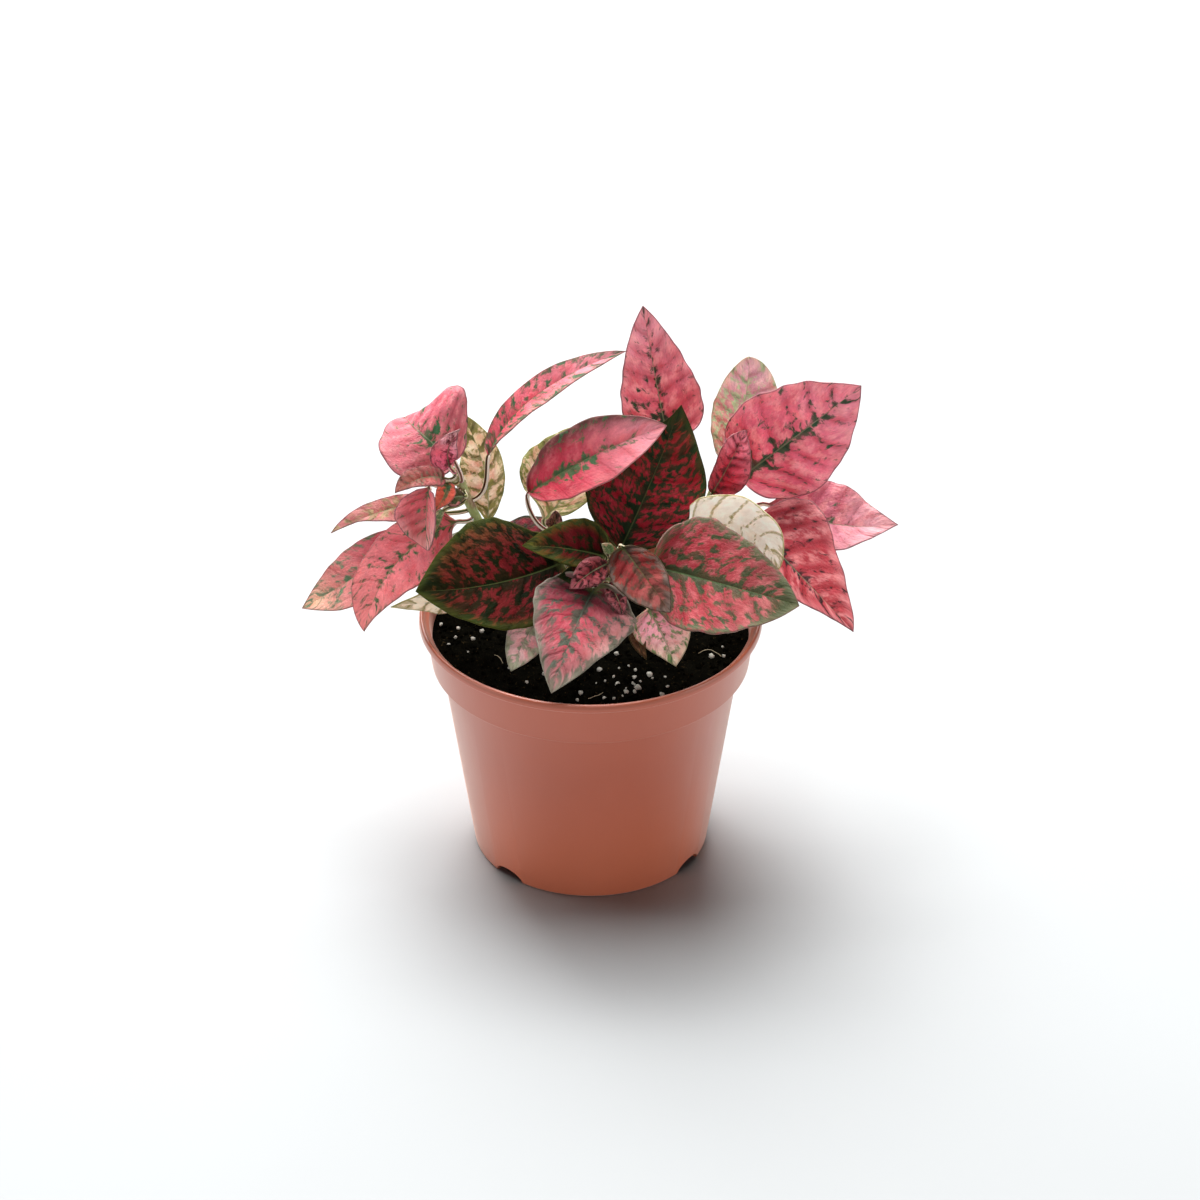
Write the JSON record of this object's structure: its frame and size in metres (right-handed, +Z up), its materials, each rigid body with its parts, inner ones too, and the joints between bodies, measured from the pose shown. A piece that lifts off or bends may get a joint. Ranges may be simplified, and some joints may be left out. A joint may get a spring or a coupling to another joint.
{
  "type": "potted polka dot plant",
  "caption": "Leafy houseplant with pink and green mottled leaves on slender stems, growing from dark potting mix in a round tapered plastic nursery pot with a collar and lip.",
  "frame": {"origin": "on the pot's axis, in the plane the pot stands on, at the middle of the central foot", "axes": "+Z up along the pot's axis; -Y is the plant's fullest side; +X is to the right when looking along +Y"},
  "size_m": [0.2064, 0.1296, 0.1961],
  "materials": {
    "terracotta_plastic": "satin",
    "potting_mix": "loose, damp and dark",
    "stem": "satin",
    "leaf": "soft, pink mottled with green",
    "leaf_dark": "soft, dark green spotted with red",
    "leaf_pale": "soft, cream with green veins"
  },
  "bodies": {
    "root": {"pot": "terracotta_plastic", "potting_mix": "potting_mix", "stem_left": "stem", "stem_centre": "stem", "stem_back": "stem", "stem_right": "stem", "stem_front": "stem", "stem_side": "stem", "leaf_top": "leaf", "leaf_long": "leaf", "leaf_left_top": "leaf", "leaf_left_young": "leaf", "leaf_centre_pink": "leaf", "leaf_centre_pale": "leaf_pale", "leaf_centre_dark": "leaf_dark", "leaf_right_pale": "leaf", "leaf_right_upper": "leaf", "leaf_right_crinkled": "leaf", "leaf_right_side": "leaf", "leaf_right_low": "leaf", "leaf_right_underside": "leaf_pale", "leaf_front_right": "leaf", "leaf_centre_small": "leaf", "leaf_front": "leaf", "leaf_front_left": "leaf", "leaf_centre_red": "leaf_dark", "leaf_left_dark": "leaf_dark", "leaf_left_underside": "leaf_pale", "leaf_left_low": "leaf", "leaf_left_far": "leaf", "leaf_left_thin": "leaf", "leaf_left_hanging": "leaf", "leaf_left_small": "leaf", "leaf_left_short": "leaf", "leaf_left_back": "leaf_pale", "leaf_centre_bud": "leaf", "leaf_front_pale": "leaf", "leaf_front_bud": "leaf", "leaf_rear_top": "leaf", "leaf_rear_left": "leaf", "leaf_rear_right": "leaf", "leaf_rear_low_left": "leaf", "leaf_rear_low_mid": "leaf", "leaf_side_low_right": "leaf", "leaf_rear_low_right": "leaf"}
  },
  "joints": []
}
